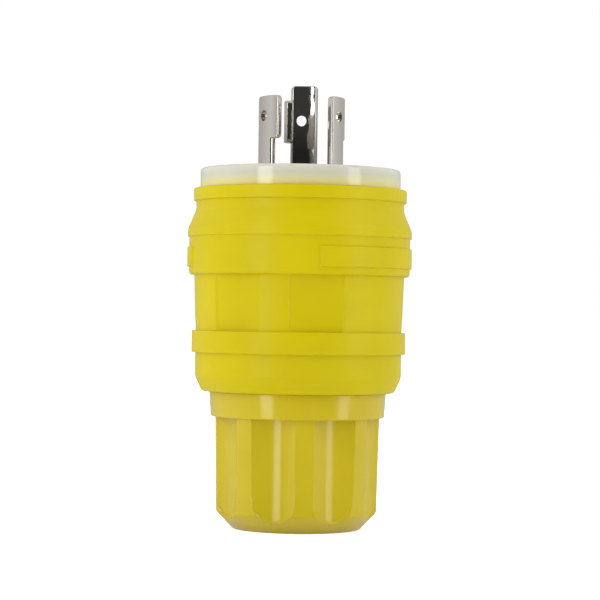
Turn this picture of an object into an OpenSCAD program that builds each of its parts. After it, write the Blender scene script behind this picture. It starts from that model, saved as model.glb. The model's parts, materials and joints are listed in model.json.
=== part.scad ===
// Watertight locking plug: a soft sealing boot over a rigid body, three curved
// locking blades in a nylon face, and a fluted gland nut that squeezes the cord grip.
// Millimetres. +Z runs from the cord end to the blades, and the origin is the centre
// of the gland nut's end face. Angles count anticlockwise from the front, which faces -Y.

/* [Gland nut] */
// Length of the nut
nut_h = 37.4; // [34:0.2:44]
// Radius of the flat end face
nut_end_r = 17.5; // [16:0.1:18.5]
// Height of the bevel above the end face
nut_bevel_h = 4.7; // [3:0.1:7]
// Radius over the lands at the bottom of the barrel
nut_r = 22; // [21:0.1:23]
// Growth of the barrel radius towards the flange
nut_draft = 0.5; // [0:0.05:1]
// Thickness of the flange that meets the boot
flange_h = 6.8; // [4:0.1:9]
// How far the flange stands out of the barrel
flange_out = 1.3; // [0.6:0.1:2]
// Growth of the flange radius towards the boot
flange_draft = 0.45; // [0:0.05:0.8]
// Number of finger flutes
flute_count = 8; // [5:1:10]
// Width of a flute
flute_w = 12.1; // [8:0.1:13]
// Depth of a flute at its middle
flute_depth = 2.4; // [1:0.1:3]
// Height of the round end of a flute above the end face
flute_start = 2.7; // [2:0.1:5]
// Direction of the first flute
flute_turn = -17; // [-45:1:45]
// Thickness of the nut's end wall
nut_floor = 4.6; // [3:0.1:6]
// Radius of the hole that the cord passes
cord_hole_r = 10.5; // [9:0.1:11]

/* [Boot] */
// Height of the plain skirt at the bottom
skirt_h = 10.6; // [9:0.1:14]
// Radius of the skirt
skirt_r = 28.3; // [27.5:0.1:29]
// Height of the bevel under the skirt
skirt_bevel_h = 4.1; // [2:0.1:6]
// Inward reach of the bevel under the skirt
skirt_bevel_w = 1.9; // [1:0.1:3]
// Thickness of the boot's wall at the skirt
boot_wall = 4.2; // [3.4:0.1:5]
// Height of the plain ring above the skirt
ring_h = 6; // [4:0.1:9]
// How far the ring stands out of the skirt
ring_out = 1.05; // [0.4:0.05:1.5]
// Height of the panelled grip
grip_h = 15.2; // [12:0.1:20]
// Growth of the grip radius towards the lip
grip_draft = 0.5; // [0:0.05:0.8]
// Angle between the two panels of a pair
panel_pitch = 45.6; // [40:0.1:60]
// Width of a grip panel
panel_w = 14.5; // [10:0.1:15]
// Depth of the step at the side of a panel
panel_step = 0.25; // [0.1:0.05:0.6]
// Direction of the first panel; a pair lies on each of two opposite sides
panel_turn = 9.7; // [-22:0.1:22]
// Height of the lip above the grip
lip_h = 10.4; // [8:0.1:14]
// How far the lip stands out of the grip
lip_out = 1.5; // [0.8:0.1:2]
// Height of the raised label pads on the lip
pad_h = 5.8; // [3:0.1:7]
// Distance of a pad from the lip's lower edge
pad_rise = 2; // [1:0.1:3]
// How far a pad stands out of the lip
pad_out = 0.5; // [0.2:0.05:0.8]
// Direction in which the first pad begins
pad_from = 10.5; // [0:0.5:30]
// Angle that a pad covers
pad_span = 97.5; // [40:0.5:120]
// Height of the widest band above the lip
crown_h = 2.15; // [1:0.05:4]
// How far the widest band stands out of the lip
crown_out = 0.43; // [0.1:0.01:0.8]
// Height of the shoulder that narrows to the collar
shoulder_h = 5.1; // [4:0.1:8]
// Inward reach of the shoulder
shoulder_w = 2.2; // [1:0.1:3]
// Rounding of the shoulder's two ends
shoulder_round = 2.5; // [0.5:0.1:4]
// Height of the collar under the sealing rim
collar_h = 2.55; // [1.5:0.05:5]
// Height of the sealing rim
rim_h = 3.5; // [2:0.1:5]
// How far the sealing rim stands out of the collar
rim_out = 0.7; // [0.3:0.05:1.2]
// Thickness of the boot's floor
boot_floor = 3.6; // [2:0.1:5]

/* [Face] */
// How far the face disc's edge lies inside the boot's rim
disc_inset = 1.76; // [0.5:0.01:2.5]
// Thickness of the face disc
disc_t = 5.55; // [4:0.05:8]
// Rounding of the disc's front edge
disc_round = 1; // [0.3:0.1:2]
// Depth of the spigot that enters the housing
spigot_h = 7.4; // [6:0.1:10]
// Distance of the assembly screws from the housing's wall
screw_inset = 4.6; // [4.1:0.1:5.1]
// Radius of an assembly screw's head
screw_head_r = 3.3; // [2.8:0.1:3.5]
// Thickness of an assembly screw's head
screw_head_h = 2.4; // [1.8:0.1:3]
// How deep the heads lie below the face
head_depth = 1; // [0.2:0.1:2]
// Radius of an assembly screw
screw_r = 1.9; // [1.5:0.1:2.1]
// Clearance round the screws in their through holes
hole_gap = 0.3; // [0.1:0.05:0.4]
// Clearance round a sunk screw head
head_gap = 0.2; // [0.1:0.05:0.3]
// Width of the slots for the screwdriver
driver_slot = 0.8; // [0.6:0.1:1.2]
// Depth of the seal's groove behind the disc
groove_drop = 1.8; // [1:0.1:3]

/* [Blades] */
// Diameter of the circle that the blades' outer faces lie on
blade_circle_d = 23.8; // [22.5:0.1:25]
// Thickness of the blade metal
blade_t = 2; // [1.6:0.1:2.2]
// How far the line and neutral blades stand out of the face
blade_reach = 19.65; // [17:0.05:23]
// Extra height of the ground blade
ground_extra = 4.4; // [2:0.1:6]
// Height of the locking flags
flag_h = 11.7; // [8:0.1:13]
// Distance of the hole's centre from the tip of the line blade
hole_drop = 5.4; // [4:0.1:7]
// Radius of the hole in each blade
hole_r = 1.5; // [1:0.1:2]
// Rounding of the blades' corners
blade_corner = 1.1; // [0.4:0.1:1.6]
// Bevel round the blades' tips
blade_coin = 0.4; // [0.1:0.05:0.6]
// Inner radius of the bend in the ground blade's flag
bend_r = 0.4; // [0.2:0.1:0.8]
// Inward reach of the ground blade's bent flag
hook_reach = 3; // [2:0.1:4]

/* [Body] */
// Thickness of the housing's wall
housing_wall = 2.4; // [1.8:0.1:3]
// Thickness of the housing's floor
housing_floor = 2.5; // [2:0.1:4]
// Height of the screw posts above the housing's floor
post_h = 18.4; // [14:0.1:22]
// Radius of the screw posts
post_r = 3.8; // [3.2:0.1:4]
// Height of the rib that holds the boot
rib_h = 3; // [2:0.1:5]
// How far the rib stands out of the housing
rib_out = 1.2; // [0.6:0.1:1.8]
// Length of the brass inserts
insert_h = 8; // [5:0.5:12]
// Wall of a post round its brass insert
insert_wall = 1.1; // [0.8:0.1:1.6]
// Thickness of the terminal block's top plate
plate_t = 5; // [4:0.1:7]
// Thickness of the terminal block's webs
web_t = 3; // [2:0.1:4]
// Radius of the terminal block's hub
hub_r = 5.2; // [4.5:0.1:5.6]

/* [Terminals] */
// Width of the flat tail of a blade
tail_w = 10; // [9:0.1:11]
// How far a tail's outer face lies inside the blade's outer face
tail_inset = 0.3; // [0.2:0.1:0.6]
// Depth of the tails below the terminal block's top
tail_drop = 19.5; // [16:0.1:21]
// Depth of the terminal screws below the terminal block's top
terminal_drop = 11.5; // [10:0.1:13]
// Side of the square clamp plates
clamp_w = 8.8; // [7.5:0.1:9.5]
// Thickness of the clamp plates
clamp_t = 2; // [1.5:0.1:2.2]
// Opening for the conductor between tail and clamp plate
wire_gap = 1.4; // [1:0.1:1.6]
// Radius of a terminal screw's head
terminal_head_r = 3.4; // [2.8:0.1:4]
// Thickness of a terminal screw's head
terminal_head_h = 2.4; // [1.8:0.1:3]

/* [Neck and cord grip] */
// Height of the neck's end above the slip ring
neck_lift = 10; // [8:0.1:12]
// Radius of the neck over its thread
neck_r = 16; // [15.5:0.1:16.2]
// Radius of the neck under the seal
neck_root_r = 15.3; // [14.8:0.1:15.5]
// Radius of the collar where the neck passes the boot's floor
neck_collar_r = 17.5; // [17:0.1:18.5]
// Inner radius of the neck
neck_bore_r = 12.05; // [11.8:0.05:12.4]
// Thickness of the neck seal ring
neck_seal_t = 2.2; // [1.6:0.1:2.6]
// Thickness of the face seal ring
face_seal_t = 1.7; // [1.2:0.1:2]
// Thickness of the slip ring
slip_t = 2; // [1.2:0.1:3]
// Radius of the cord that the grommet grips
cord_r = 7.25; // [5:0.05:8]
// Wall of the grommet
grommet_wall = 3.35; // [2:0.05:3.4]
// Length of the grommet
grommet_h = 17.8; // [15:0.1:20]
// Thickness of the grommet's flange
grommet_flange_h = 3; // [2:0.1:4]
// Thickness of the collet's lip on the neck's end
collet_lip_h = 1.6; // [1:0.1:2.5]
// Number of collet fingers
finger_count = 10; // [6:1:12]
// Width of the slots between the fingers
finger_slot = 1.2; // [0.6:0.1:2]
// Wall of the collet's fingers
finger_wall = 2.2; // [1.4:0.1:2.6]
// Length of the tapered tips of the fingers
finger_tip = 2; // [1:0.1:4]

/* [Clearances] */
// Gap between the nut and the neck's thread
thread_gap = 0.3; // [0.1:0.05:0.5]
// Gap between pieces that slide into each other
slide_gap = 0.1; // [0.05:0.01:0.2]
// Gap between the blades and their slots
slot_gap = 0.15; // [0.05:0.05:0.3]
// Gap between screw shanks and their holes
screw_gap = 0.05; // [0.02:0.01:0.1]

/* [Hidden] */
$fn = 96;
arc_steps = 6;
over = 1;
// Shift that keeps a cutter's edges off the faces that it trims
skim = 0.02;

// Directions of the blades' edges: [from, to, end of the flag, middle of the tail]
line_turns = [45, 77, 89, 60];
neutral_turns = [-82, -44, -32, -60];
ground_turns = [157, 195, 195, 180];
screw_turns = [0, 120, 240];

// Heights along the boot
boot_z = nut_h;
ring_z = boot_z + skirt_h;
grip_z = ring_z + ring_h;
lip_z = grip_z + grip_h;
crown_z = lip_z + lip_h;
shoulder_z = crown_z + crown_h;
collar_z = shoulder_z + shoulder_h;
rim_z = collar_z + collar_h;
seat_z = rim_z + rim_h;
face_z = seat_z + disc_t;

// Radii along the boot
grip_r = skirt_r;
lip_r = grip_r + grip_draft + lip_out;
crown_r = lip_r + crown_out;
collar_r = crown_r - shoulder_w;
rim_r = collar_r + rim_out;
disc_r = rim_r - disc_inset;

// Body
housing_r = skirt_r - boot_wall - slide_gap;
housing_bore_r = housing_r - housing_wall;
screw_circle_r = housing_bore_r - screw_inset;
housing_z = boot_z + boot_floor;
chamber_z = housing_z + housing_floor;
post_top = chamber_z + post_h;
block_top = seat_z - spigot_h;
rib_z = (grip_z + lip_z - rib_h) / 2;

// Blades
blade_r = blade_circle_d / 2;
blade_in = blade_r - blade_t;
blade_tip = face_z + blade_reach;
flag_z = blade_tip - flag_h;
blade_root = block_top - plate_t / 2;
tail_z = block_top - tail_drop;
terminal_z = block_top - terminal_drop;
tail_in = blade_in - tail_inset;
tail_out = blade_r - tail_inset;
clamp_r = tail_in - wire_gap;
head_z = face_z - head_depth - screw_head_h;

// Neck and cord grip
nut_bore_r = neck_r + thread_gap;
seal_well_h = neck_seal_t + 1;
seal_well_r = neck_root_r + neck_seal_t + 0.35;
seal_z = boot_z - seal_well_h / 2;
slip_top = nut_floor + slip_t;
neck_z = slip_top + neck_lift;
collet_z = neck_z - collet_lip_h;
grommet_r = cord_r + grommet_wall;
grommet_z = slip_top + slide_gap;
collet_in = grommet_r + slide_gap;
collet_top = grommet_z + grommet_h - grommet_flange_h;

// Lays a child that points along +X in the given direction
module at(turn) {
    rotate([0, 0, turn - 90]) children();
}

// Points of a corner b between a and c, rounded with radius r
function corner(a, b, c, r) =
    r == 0 ? [b] :
    let (
        u = (a - b) / norm(a - b),
        v = (c - b) / norm(c - b),
        half = acos(u * v) / 2,
        centre = b + (u + v) / norm(u + v) * r / sin(half),
        first = b + u * r / tan(half) - centre,
        last = b + v * r / tan(half) - centre,
        begin = atan2(first.y, first.x),
        turn = atan2(first.x * last.y - first.y * last.x, first * last)
    )
    [for (i = [0 : arc_steps]) centre + r * [cos(begin + turn * i / arc_steps),
                                             sin(begin + turn * i / arc_steps)]];

// Outline through points [radius, height, rounding]
function outline(p) = [
    for (i = [0 : len(p) - 1])
        let (
            before = p[(i + len(p) - 1) % len(p)],
            here = p[i],
            after = p[(i + 1) % len(p)]
        )
        each corner([before.x, before.y], [here.x, here.y], [after.x, after.y], here.z)
];

// Solid turned from an outline of points [radius, height, rounding]
module turned(p) {
    rotate_extrude() polygon(outline(p));
}

// Tube between two radii and two heights
module tube(inner, outer, bottom, top) {
    translate([0, 0, bottom])
        difference() {
            cylinder(r = outer, h = top - bottom);
            translate([0, 0, -over]) cylinder(r = inner, h = top - bottom + 2 * over);
        }
}

// Round ring of the given thickness whose inner radius is given
module seal_ring(inner, thickness, height) {
    rotate_extrude()
        translate([inner + thickness / 2, height]) circle(d = thickness, $fn = 32);
}

// ---- Boot ----

// Flat recess of the grip, tilted with the grip's draft
module grip_panel() {
    edge_x = sqrt(grip_r * grip_r - panel_w * panel_w / 4);
    tilt = atan(grip_draft / grip_h);
    intersection() {
        translate([0, -panel_w / 2, grip_z]) cube([skirt_r * 2, panel_w, grip_h]);
        translate([edge_x - panel_step, 0, grip_z])
            rotate([0, tilt, 0])
                translate([0, -panel_w / 2, -over]) cube([grip_r, panel_w, grip_h + 2 * over]);
    }
}

module sealing_boot() {
    bore_r = housing_r + slide_gap;
    color("gold")
    difference() {
        union() {
            turned([
                [neck_collar_r + slide_gap, boot_z, 0],
                [skirt_r - skirt_bevel_w, boot_z, 0.8],
                [skirt_r, boot_z + skirt_bevel_h, 1.2],
                [skirt_r, ring_z, 0],
                [skirt_r + ring_out, ring_z, 0.3],
                [skirt_r + ring_out, grip_z, 0.3],
                [grip_r, grip_z, 0],
                [grip_r + grip_draft, lip_z, 0],
                [lip_r, lip_z, 0.8],
                [lip_r, crown_z, 0],
                [crown_r, crown_z, 0.2],
                [crown_r, shoulder_z, shoulder_round],
                [collar_r, collar_z, shoulder_round],
                [collar_r, rim_z, 0],
                [rim_r, rim_z, 0.3],
                [rim_r, seat_z, 0.4],
                [bore_r, seat_z, 0],
                [bore_r, rib_z + rib_h + slide_gap, 0],
                [bore_r + rib_out, rib_z + rib_h + slide_gap, 0],
                [bore_r + rib_out, rib_z - slide_gap, 0],
                [bore_r, rib_z - slide_gap, 0],
                [bore_r, housing_z, 0],
                [neck_collar_r + slide_gap, housing_z, 0]
            ]);
            for (side = [0, 180])
                rotate([0, 0, pad_from + side - 90])
                    rotate_extrude(angle = pad_span)
                        translate([lip_r - over, lip_z + pad_rise]) square([over + pad_out, pad_h]);
        }
        for (side = [0, 180], back = [0, panel_pitch])
            at(panel_turn - back + side) grip_panel();
    }
}

// ---- Rigid body ----

module rear_housing() {
    color("dimgray")
    difference() {
        union() {
            turned([
                [neck_bore_r, neck_z, 0],
                [neck_r, neck_z, 0.8],
                [neck_r, boot_z - seal_well_h, 0.4],
                [neck_root_r, boot_z - seal_well_h, 0],
                [neck_root_r, boot_z, 0],
                [neck_collar_r, boot_z, 0],
                [neck_collar_r, housing_z, 0],
                [housing_r, housing_z, 1],
                [housing_r, rib_z, 0],
                [housing_r + rib_out, rib_z, 0.4],
                [housing_r + rib_out, rib_z + rib_h, 0.4],
                [housing_r, rib_z + rib_h, 0],
                [housing_r, seat_z, 0],
                [housing_bore_r, seat_z, 0],
                [housing_bore_r, chamber_z, 0],
                [neck_bore_r, chamber_z, 0]
            ]);
            for (turn = screw_turns)
                at(turn) screw_post();
        }
        for (turn = screw_turns)
            at(turn)
                translate([screw_circle_r, 0, post_top - insert_h])
                    cylinder(r = insert_r(), h = insert_h + over);
    }
}

// Post that carries a brass insert, joined to the housing's wall
module screw_post() {
    translate([screw_circle_r, 0, chamber_z - over]) cylinder(r = post_r, h = post_h + over);
    translate([screw_circle_r, -web_t / 2, chamber_z - over])
        cube([housing_bore_r + housing_wall / 2 - screw_circle_r, web_t, post_h + over]);
}

function insert_r() = post_r - insert_wall;

module screw_inserts() {
    color("darkgoldenrod")
    for (turn = screw_turns)
        at(turn)
            translate([screw_circle_r, 0, 0])
                tube(screw_r + screw_gap, insert_r(), post_top - insert_h, post_top);
}

module terminal_block() {
    color("saddlebrown")
    difference() {
        union() {
            translate([0, 0, block_top - plate_t])
                cylinder(r = housing_bore_r - slide_gap, h = plate_t);
            translate([0, 0, post_top]) cylinder(r = hub_r, h = block_top - post_top);
            for (turn = screw_turns)
                at(turn) {
                    translate([0, -web_t / 2, post_top])
                        cube([screw_circle_r, web_t, block_top - post_top]);
                    translate([screw_circle_r, 0, post_top])
                        cylinder(r = post_r, h = block_top - post_top);
                }
        }
        for (turn = screw_turns)
            at(turn) screw_hole(post_top - over, block_top + over);
        for (edges = [line_turns, neutral_turns, ground_turns]) {
            neck_slot(edges, block_top - plate_t - over, block_top + over);
            tail_slot(edges, block_top - plate_t - over, block_top + over);
        }
    }
}

module screw_hole(bottom, top) {
    translate([screw_circle_r, 0, bottom]) cylinder(r = screw_r + hole_gap, h = top - bottom);
}

// Clearance for a blade's curved neck between two heights
module neck_slot(edges, bottom, top) {
    reach = asin(slot_gap / blade_in);
    rotate([0, 0, edges[0] - reach - 90])
        rotate_extrude(angle = edges[1] - edges[0] + 2 * reach)
            translate([blade_in - slot_gap, bottom])
                square([blade_t + 2 * slot_gap, top - bottom]);
}

// Clearance for a blade's flat tail between two heights
module tail_slot(edges, bottom, top) {
    at(edges[3])
        translate([tail_in - slot_gap, -tail_w / 2 - slot_gap, bottom])
            cube([blade_t + 2 * slot_gap, tail_w + 2 * slot_gap, top - bottom]);
}

module face_insulator() {
    spigot_r = housing_bore_r - slide_gap;
    groove_z = seat_z - groove_drop;
    color("ivory")
    difference() {
        turned([
            [0, block_top, 0],
            [spigot_r, block_top, 0.5],
            [spigot_r, groove_z - face_seal_t - slide_gap, 0],
            [spigot_r - face_seal_t, groove_z - face_seal_t - slide_gap, 0],
            [spigot_r - face_seal_t, groove_z, 0],
            [spigot_r, groove_z, 0],
            [spigot_r, seat_z, 0],
            [disc_r, seat_z, 0.2],
            [disc_r, face_z, disc_round],
            [0, face_z, 0]
        ]);
        for (turn = screw_turns)
            at(turn) {
                screw_hole(block_top - over, face_z + over);
                translate([screw_circle_r, 0, head_z])
                    cylinder(r = screw_head_r + head_gap, h = head_depth + screw_head_h + over);
            }
        for (edges = [line_turns, neutral_turns, ground_turns])
            neck_slot(edges, block_top - over, face_z + over);
    }
}

module face_screws() {
    recess = screw_head_h * 0.6;
    color("silver")
    for (turn = screw_turns)
        at(turn)
            translate([screw_circle_r, 0, 0])
                difference() {
                    union() {
                        translate([0, 0, head_z]) cylinder(r = screw_head_r, h = screw_head_h);
                        translate([0, 0, post_top - insert_h + 1])
                            cylinder(r = screw_r, h = head_z - post_top + insert_h - 1);
                    }
                    for (cross = [0, 90])
                        rotate([0, 0, cross])
                            translate([-screw_r, -driver_slot / 2, head_z + screw_head_h - recess])
                                cube([2 * screw_r, driver_slot, recess + over]);
                }
}

module face_seal_ring() {
    color("black")
    seal_ring(housing_bore_r - slide_gap - face_seal_t, face_seal_t,
              seat_z - groove_drop - face_seal_t / 2 - slide_gap / 2);
}

// ---- Blades ----

// Curved strip with bevelled tip between two directions and two heights
module strip(from, to, bottom, top) {
    rotate([0, 0, from - 90])
        rotate_extrude(angle = to - from)
            polygon([
                [blade_in, bottom], [blade_r, bottom],
                [blade_r, top - blade_coin], [blade_r - blade_coin, top],
                [blade_in + blade_coin, top], [blade_in, top - blade_coin]
            ]);
}

// Cutter that rounds a strip's corner. The metal lies clockwise of it and below it;
// turn_side and up_side of -1 mirror the cutter for the other corners.
module corner_cut(turn, height, turn_side, up_side) {
    reach = 2 * blade_corner;
    at(turn)
        translate([blade_in - over, 0, height])
            mirror([0, turn_side < 0 ? 1 : 0, 0])
                mirror([0, 0, up_side < 0 ? 1 : 0])
                    translate([0, skim, skim]) rotate([90, 0, 90])
                        linear_extrude(blade_t + 2 * over)
                            polygon(concat(
                                [[over, -blade_corner], [over, over], [-blade_corner, over]],
                                corner([-reach, 0], [0, 0], [0, -reach], blade_corner)
                            ));
}

// Flat tail with the hole for the terminal screw
module tail(turn) {
    at(turn)
        translate([tail_in, -tail_w / 2, tail_z])
            cube([blade_t, tail_w, block_top - tail_z]);
}

module blade_holes(turn) {
    at(turn) {
        translate([0, 0, terminal_z])
            rotate([0, 90, 0]) cylinder(r = screw_r + hole_gap, h = blade_r + over, $fn = 48);
        translate([0, 0, blade_tip - hole_drop])
            rotate([0, 90, 0]) cylinder(r = hole_r, h = blade_r + over, $fn = 48);
    }
}

// Blade whose flag carries straight on from its neck
module flagged_blade(edges) {
    difference() {
        union() {
            strip(edges[0], edges[1], blade_root, blade_tip);
            strip(edges[0], edges[2], flag_z, blade_tip);
            tail(edges[3]);
        }
        corner_cut(edges[0], blade_tip, -1, 1);
        corner_cut(edges[2], blade_tip, 1, 1);
        corner_cut(edges[2], flag_z, 1, -1);
        blade_holes(edges[3]);
    }
}

module line_blade() {
    color("silver") flagged_blade(line_turns);
}

module neutral_blade() {
    color("silver") flagged_blade(neutral_turns);
}

// Plan of the ground blade's flag, which turns inwards past the end of the neck
module bent_flag() {
    polygon(outline([
        [blade_in, 0, 0],
        [blade_r, 0, 0],
        [blade_r, bend_r + blade_t, blade_t + bend_r - 0.1],
        [blade_in - hook_reach, bend_r + blade_t, 0.3],
        [blade_in - hook_reach, bend_r, 0.3],
        [blade_in, bend_r, bend_r - 0.1]
    ]));
}

// Ground blade: longer, with its flag bent inwards
module ground_blade() {
    tip = blade_tip + ground_extra;
    color("silver")
    difference() {
        union() {
            strip(ground_turns[0], ground_turns[1], blade_root, tip);
            tail(ground_turns[3]);
            at(ground_turns[1]) translate([0, 0, flag_z]) linear_extrude(flag_h) bent_flag();
        }
        corner_cut(ground_turns[0], tip, -1, 1);
        corner_cut(ground_turns[1], tip, 1, 1);
        blade_holes(ground_turns[3]);
    }
}

// ---- Terminals ----

module clamp_plate(turn) {
    at(turn)
        difference() {
            translate([clamp_r - clamp_t, -clamp_w / 2, terminal_z - clamp_w / 2])
                cube([clamp_t, clamp_w, clamp_w]);
            translate([0, 0, terminal_z])
                rotate([0, 90, 0]) cylinder(r = screw_r + screw_gap, h = blade_r, $fn = 48);
        }
}

// Terminal screw with a slotted head on the outside of the blade's tail
module terminal_screw(turn) {
    at(turn)
        translate([0, 0, terminal_z])
            difference() {
                union() {
                    translate([hub_r + 0.4, 0, 0])
                        rotate([0, 90, 0]) cylinder(r = screw_r, h = tail_out - hub_r, $fn = 48);
                    translate([tail_out, 0, 0])
                        rotate([0, 90, 0]) cylinder(r = terminal_head_r, h = terminal_head_h);
                }
                translate([tail_out + terminal_head_h / 2, -terminal_head_r - over, -driver_slot / 2])
                    cube([terminal_head_h, 2 * (terminal_head_r + over), driver_slot]);
            }
}

module line_clamp_plate() {
    color("goldenrod") clamp_plate(line_turns[3]);
}

module neutral_clamp_plate() {
    color("goldenrod") clamp_plate(neutral_turns[3]);
}

module ground_clamp_plate() {
    color("goldenrod") clamp_plate(ground_turns[3]);
}

module line_terminal_screw() {
    color("goldenrod") terminal_screw(line_turns[3]);
}

module neutral_terminal_screw() {
    color("silver") terminal_screw(neutral_turns[3]);
}

module ground_terminal_screw() {
    color("green") terminal_screw(ground_turns[3]);
}

// ---- Gland nut and cord grip ----

// Concave finger flute with a round lower end
module flute() {
    barrel_r = nut_r + nut_draft / 2;
    floor_x = barrel_r - flute_depth;
    rise = sqrt(barrel_r * barrel_r - flute_w * flute_w / 4) - floor_x;
    sweep_r = (rise * rise + flute_w * flute_w / 4) / (2 * rise);
    end_r = flute_w / 2 + 0.6;
    intersection() {
        translate([floor_x + sweep_r, 0, 0]) cylinder(r = sweep_r, h = nut_h);
        union() {
            translate([0, 0, flute_start + end_r])
                rotate([0, 90, 0]) cylinder(r = end_r, h = 2 * nut_r);
            translate([0, -end_r, flute_start + end_r]) cube([2 * nut_r, 2 * end_r, nut_h]);
        }
    }
}

module gland_nut() {
    flange_z = nut_h - flange_h;
    flange_r = nut_r + nut_draft + flange_out;
    color("khaki")
    union() {
        difference() {
            turned([
                [cord_hole_r, 0, 1],
                [nut_end_r, 0, 0.5],
                [nut_r, nut_bevel_h, 0.8],
                [nut_r + nut_draft, flange_z, 0],
                [nut_bore_r, flange_z, 0],
                [nut_bore_r, nut_floor, 0],
                [cord_hole_r, nut_floor, 0]
            ]);
            for (i = [0 : flute_count - 1])
                at(flute_turn + i * 360 / flute_count) flute();
        }
        turned([
            [nut_bore_r, flange_z, 0],
            [flange_r, flange_z, 0.4],
            [flange_r + flange_draft, nut_h, 0.3],
            [seal_well_r, nut_h, 0.3],
            [seal_well_r, nut_h - seal_well_h, 0],
            [nut_bore_r, nut_h - seal_well_h, 0.4]
        ]);
    }
}

module slip_ring() {
    color("white")
    turned([
        [cord_hole_r, nut_floor, 0],
        [nut_bore_r - slide_gap, nut_floor, 0.3],
        [nut_bore_r - slide_gap, slip_top, 0.3],
        [cord_hole_r, slip_top, 0]
    ]);
}

module cord_grommet() {
    top = grommet_z + grommet_h;
    color("black")
    turned([
        [cord_r, grommet_z, 0.8],
        [grommet_r, grommet_z, 0.8],
        [grommet_r, collet_top, 0],
        [neck_bore_r - slide_gap, collet_top, 0],
        [neck_bore_r - slide_gap, top, 0.8],
        [cord_r, top, 0.8]
    ]);
}

// Collet with slotted fingers round the grommet, hung in the neck's end by its lip
module clamp_collet() {
    finger_z = grommet_z + 1;
    finger_r = collet_in + finger_wall;
    color("gray")
    difference() {
        turned([
            [collet_in, finger_z, 0],
            [finger_r - 0.9, finger_z, 0],
            [finger_r, finger_z + finger_tip, 0.5],
            [finger_r, collet_z, 0],
            [neck_r - 0.4, collet_z, 0.3],
            [neck_r - 0.4, neck_z, 0],
            [neck_bore_r - slide_gap, neck_z, 0],
            [neck_bore_r - slide_gap, collet_top, 0],
            [collet_in, collet_top, 0]
        ]);
        for (i = [0 : finger_count - 1])
            at(i * 360 / finger_count)
                translate([0, -finger_slot / 2, finger_z - over])
                    cube([neck_r * 2, finger_slot, collet_z - finger_z]);
    }
}

module neck_seal_ring() {
    color("black")
    seal_ring(neck_root_r, neck_seal_t, seal_z);
}

sealing_boot();
rear_housing();
face_insulator();
terminal_block();
line_blade();
neutral_blade();
ground_blade();
line_clamp_plate();
neutral_clamp_plate();
ground_clamp_plate();
line_terminal_screw();
neutral_terminal_screw();
ground_terminal_screw();
face_screws();
screw_inserts();
face_seal_ring();
neck_seal_ring();
gland_nut();
slip_ring();
cord_grommet();
clamp_collet();
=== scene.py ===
"""Watertight locking plug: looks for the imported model, laid out as an add-on.

One operator makes each piece or group of like pieces, one makes the stage, and main()
calls them in order. Sizes are in metres and come from the frame where it has them.
"""

import json
import math

import bmesh
import bpy
from bpy.props import FloatProperty, FloatVectorProperty, PointerProperty
from mathutils import Matrix, Vector

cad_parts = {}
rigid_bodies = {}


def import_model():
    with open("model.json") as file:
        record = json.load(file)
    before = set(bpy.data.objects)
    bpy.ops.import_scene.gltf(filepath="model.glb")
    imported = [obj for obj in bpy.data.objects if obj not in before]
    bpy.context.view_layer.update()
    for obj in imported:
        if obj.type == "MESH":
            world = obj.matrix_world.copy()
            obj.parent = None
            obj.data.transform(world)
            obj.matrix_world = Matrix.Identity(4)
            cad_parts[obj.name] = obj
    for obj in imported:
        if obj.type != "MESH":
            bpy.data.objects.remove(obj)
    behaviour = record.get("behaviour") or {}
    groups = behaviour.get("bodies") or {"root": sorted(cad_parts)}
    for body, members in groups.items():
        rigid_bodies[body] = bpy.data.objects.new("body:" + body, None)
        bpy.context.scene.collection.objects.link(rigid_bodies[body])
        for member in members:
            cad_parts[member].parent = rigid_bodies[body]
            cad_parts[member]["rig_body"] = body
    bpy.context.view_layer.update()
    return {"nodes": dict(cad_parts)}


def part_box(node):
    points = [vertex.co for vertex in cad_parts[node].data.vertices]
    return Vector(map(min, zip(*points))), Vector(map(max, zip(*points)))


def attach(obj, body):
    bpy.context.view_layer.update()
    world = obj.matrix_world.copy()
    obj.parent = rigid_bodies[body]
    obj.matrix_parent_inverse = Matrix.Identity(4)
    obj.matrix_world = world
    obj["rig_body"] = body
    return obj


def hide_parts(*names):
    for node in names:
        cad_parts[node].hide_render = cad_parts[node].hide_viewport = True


bl_info = {
    "name": "Watertight Locking Plug",
    "version": (1, 0, 0),
    "blender": (4, 5, 0),
    "location": "3D View > Sidebar > Plug",
    "description": "Finishes, edge detail and stage for a watertight locking plug",
    "category": "Object",
}

bpy.context.scene.view_settings.view_transform = "Standard"
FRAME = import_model()

MM = 0.001
# Distance in metres under which two points are one
MERGE = 1e-7
# Edges that bend by less than this many degrees are shaded smooth
SMOOTH_ANGLE = 35
# Columns round a full turn of the boot and the nut
COLUMNS = 720


# ---- Settings ----


def colour(name, description, value):
    """A colour property with a plain default."""
    return FloatVectorProperty(
        name=name,
        description=description,
        subtype="COLOR",
        size=3,
        min=0.0,
        max=1.0,
        default=value,
    )


def length(name, description, value):
    """A length property in metres."""
    return FloatProperty(
        name=name, description=description, default=value, min=0.0, subtype="DISTANCE", unit="LENGTH"
    )


def factor(name, description, value, top=1.0):
    """A plain number property."""
    return FloatProperty(name=name, description=description, default=value, min=0.0, max=top)


def tilt(name, description, degrees):
    """An angle property, its default given in degrees."""
    return FloatProperty(name=name, description=description, default=math.radians(degrees), subtype="ANGLE")


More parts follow.
